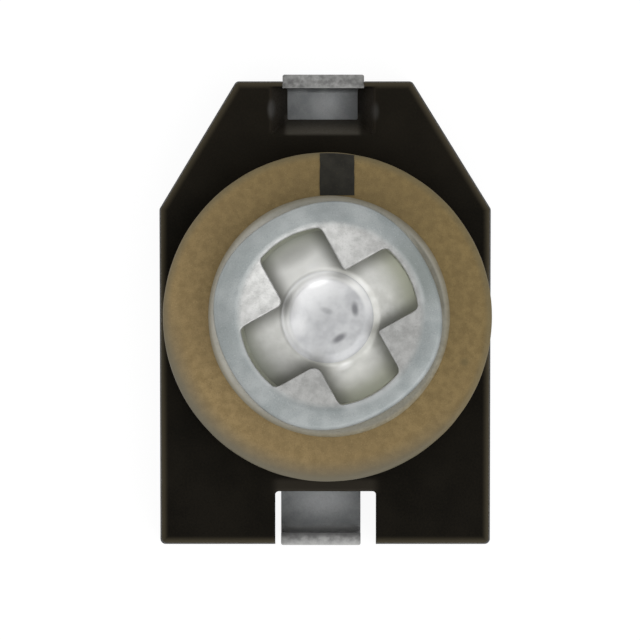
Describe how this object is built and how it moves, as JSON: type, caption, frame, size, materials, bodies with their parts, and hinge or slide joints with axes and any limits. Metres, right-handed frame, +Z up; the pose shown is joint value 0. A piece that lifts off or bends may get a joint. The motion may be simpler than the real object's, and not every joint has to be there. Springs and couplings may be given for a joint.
{
  "type": "trimmer capacitor",
  "caption": "Surface-mount ceramic trimmer capacitor: resin base with sheet terminals, and a ceramic rotor that turns under a metal driver cap with a cross slot.",
  "frame": {"origin": "on the rotor's axis, in the seating plane, on the resin's flat underside", "axes": "+Z up along the rotor's axis, out of the driver slot; +Y towards the chamfered end with the stator terminal"},
  "size_m": [0.0032, 0.0045, 0.0016],
  "materials": {
    "resin": "moulded, matt black",
    "tin": "dull tin plating",
    "ceramic": "fired, unglazed, tan",
    "ink": "dark print",
    "silver": "fired silver film",
    "nickel": "matt nickel plating",
    "spring": "bright spring sheet"
  },
  "bodies": {
    "base": {"base": "resin", "stator_terminal": "tin", "rotor_terminal": "tin", "centre_pin": "tin"},
    "rotor": {"ceramic_rotor": "ceramic", "rotor_electrode": "silver", "index_mark": "ink", "driver_plate": "nickel", "spring_washer": "spring"}
  },
  "joints": [
    {"name": "rotor_turn", "type": "hinge", "parent": "base", "child": "rotor", "pos_m": [0, 0, 0], "axis": [0, 0, 1], "continuous": true}
  ]
}
